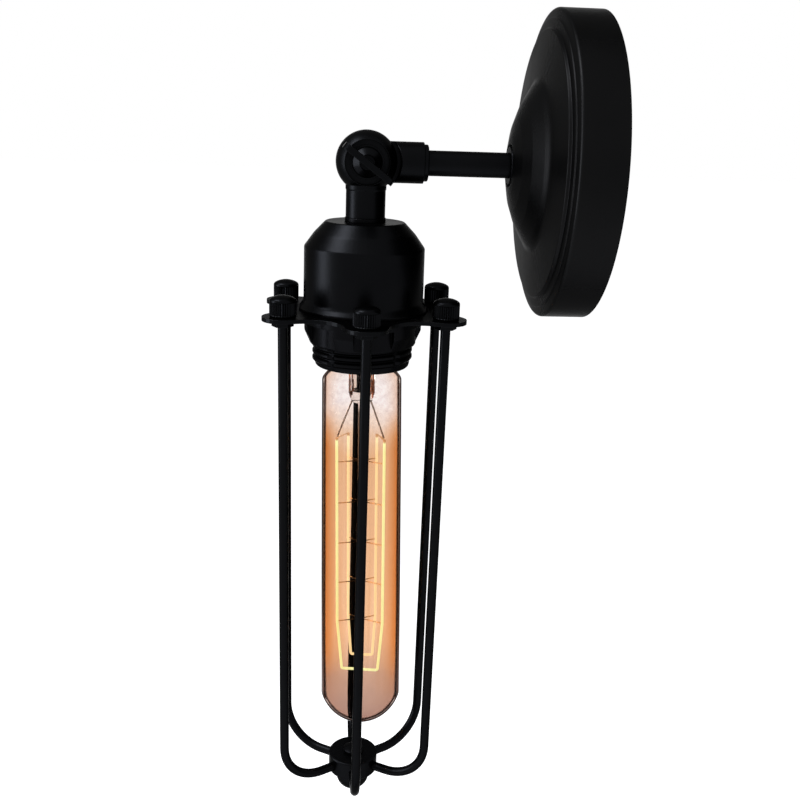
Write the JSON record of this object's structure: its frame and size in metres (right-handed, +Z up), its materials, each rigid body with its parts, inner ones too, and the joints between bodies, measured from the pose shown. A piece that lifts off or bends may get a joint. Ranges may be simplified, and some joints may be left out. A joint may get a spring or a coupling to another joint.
{
  "type": "wall light",
  "caption": "Black wall light: round stepped wall plate, short arm, swivel knuckle with wing screw, cup lampholder, and a rod cage round a tubular filament bulb.",
  "frame": {"origin": "centre of the wall plate's back, on the wall", "axes": "+Z up; the light stands out from the wall along -Y; +X is to the right of someone who faces the wall"},
  "size_m": [0.12, 0.1293, 0.3499],
  "materials": {
    "plate_paint": "satin black powder coat",
    "black_paint": "satin black paint over steel",
    "zinc_steel": "zinc plated",
    "brass_metal": "bright",
    "moulded_black": "moulded black",
    "porcelain_white": "glazed white",
    "amber_glass": "clear amber tint",
    "stem_glass": "clear",
    "hot_wire": "glowing filament",
    "live_wire": "brown insulation",
    "neutral_wire": "blue insulation",
    "earth_wire": "green insulation"
  },
  "bodies": {
    "wall": {"wall_plate": "plate_paint", "wall_bracket": "zinc_steel", "rim_screws": "black_paint", "earth_screw": "brass_metal", "earth_washer": "zinc_steel", "terminal_block": "porcelain_white", "terminal_tubes": "brass_metal", "block_screw": "zinc_steel", "earth_wire": "earth_wire", "arm_live_wire": "live_wire", "arm_neutral_wire": "neutral_wire", "arm_tube": "black_paint", "arm_washer": "black_paint", "arm_lock_washer": "zinc_steel", "arm_nut": "zinc_steel", "fixed_knuckle": "black_paint", "friction_washer": "moulded_black", "joint_nut": "zinc_steel"},
    "head": {"moving_knuckle": "black_paint", "thumb_washer": "black_paint", "head_nipple": "zinc_steel", "neck_washer": "moulded_black", "nipple_nut": "zinc_steel", "holder_cup": "black_paint", "holder_cap": "moulded_black", "socket_insert": "porcelain_white", "insert_terminals": "brass_metal", "centre_contact": "brass_metal", "screw_shell": "brass_metal", "holder_skirt": "moulded_black", "head_live_wire": "live_wire", "head_neutral_wire": "neutral_wire", "cage_plate": "black_paint", "cage_rod_1": "black_paint", "cage_rod_2": "black_paint", "cage_rod_3": "black_paint", "cage_rod_4": "black_paint", "cage_rod_5": "black_paint", "cage_rod_6": "black_paint", "cap_nuts": "black_paint", "hex_nuts": "black_paint", "cage_hub": "black_paint", "hub_screw": "black_paint", "hub_finial": "black_paint"},
    "thumb": {"thumb_screw": "black_paint"},
    "ring": {"shade_ring": "moulded_black"},
    "bulb": {"bulb_cap": "brass_metal", "bulb_insulator": "moulded_black", "bulb_contact": "brass_metal", "bulb_glass": "amber_glass", "bulb_stem": "stem_glass", "bulb_leads": "zinc_steel", "bulb_supports": "zinc_steel", "bulb_filament": "hot_wire"}
  },
  "joints": [
    {"name": "head_tilt", "type": "hinge", "parent": "wall", "child": "head", "pos_m": [0, -0.0887, 0], "axis": [1, 0, 0], "range_deg": [-192, 12]},
    {"name": "thumb_turn", "type": "hinge", "parent": "head", "child": "thumb", "pos_m": [0.01, -0.0887, 0], "axis": [1, 0, 0], "continuous": true},
    {"name": "ring_turn", "type": "hinge", "parent": "head", "child": "ring", "pos_m": [0, -0.0887, -0.067], "axis": [0, 0, 1], "continuous": true},
    {"name": "bulb_turn", "type": "hinge", "parent": "head", "child": "bulb", "pos_m": [0, -0.0887, -0.07], "axis": [0, 0, 1], "continuous": true}
  ]
}
